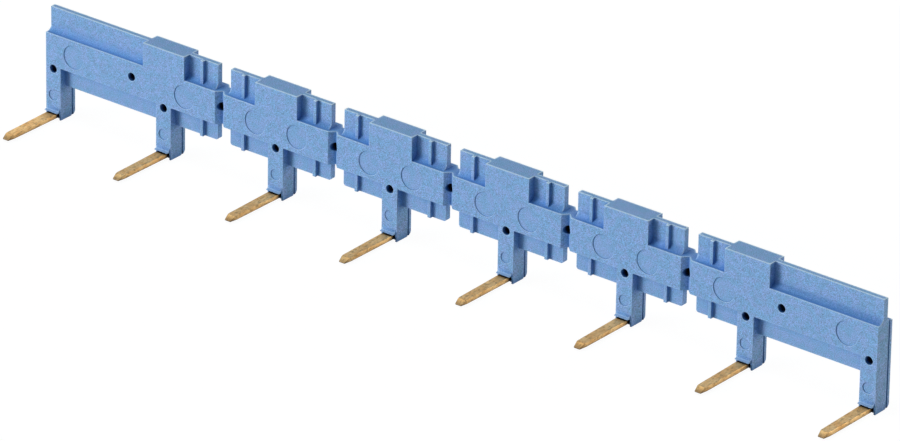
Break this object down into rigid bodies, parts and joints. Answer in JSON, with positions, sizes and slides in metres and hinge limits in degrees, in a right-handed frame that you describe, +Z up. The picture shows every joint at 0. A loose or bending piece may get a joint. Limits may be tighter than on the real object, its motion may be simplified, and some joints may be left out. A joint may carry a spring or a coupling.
{
  "type": "terminal block jumper bar",
  "caption": "Comb-shaped jumper bar: blue insulating moulding with square legs, snap-off notches and forward-bent brass contact blades.",
  "frame": {"origin": "bottom centre of the whole part's box, on the plane of the leg ends", "axes": "+X along the bar, +Y from the blade tips towards the back of the body, +Z up from the leg ends to the blocks"},
  "size_m": [0.1128, 0.0106, 0.013],
  "materials": {
    "insulating_body": "satin moulded plastic",
    "contact_comb": "bright rolled sheet"
  },
  "bodies": {
    "root": {"insulating_body": "insulating_body", "contact_comb": "contact_comb"}
  },
  "joints": []
}
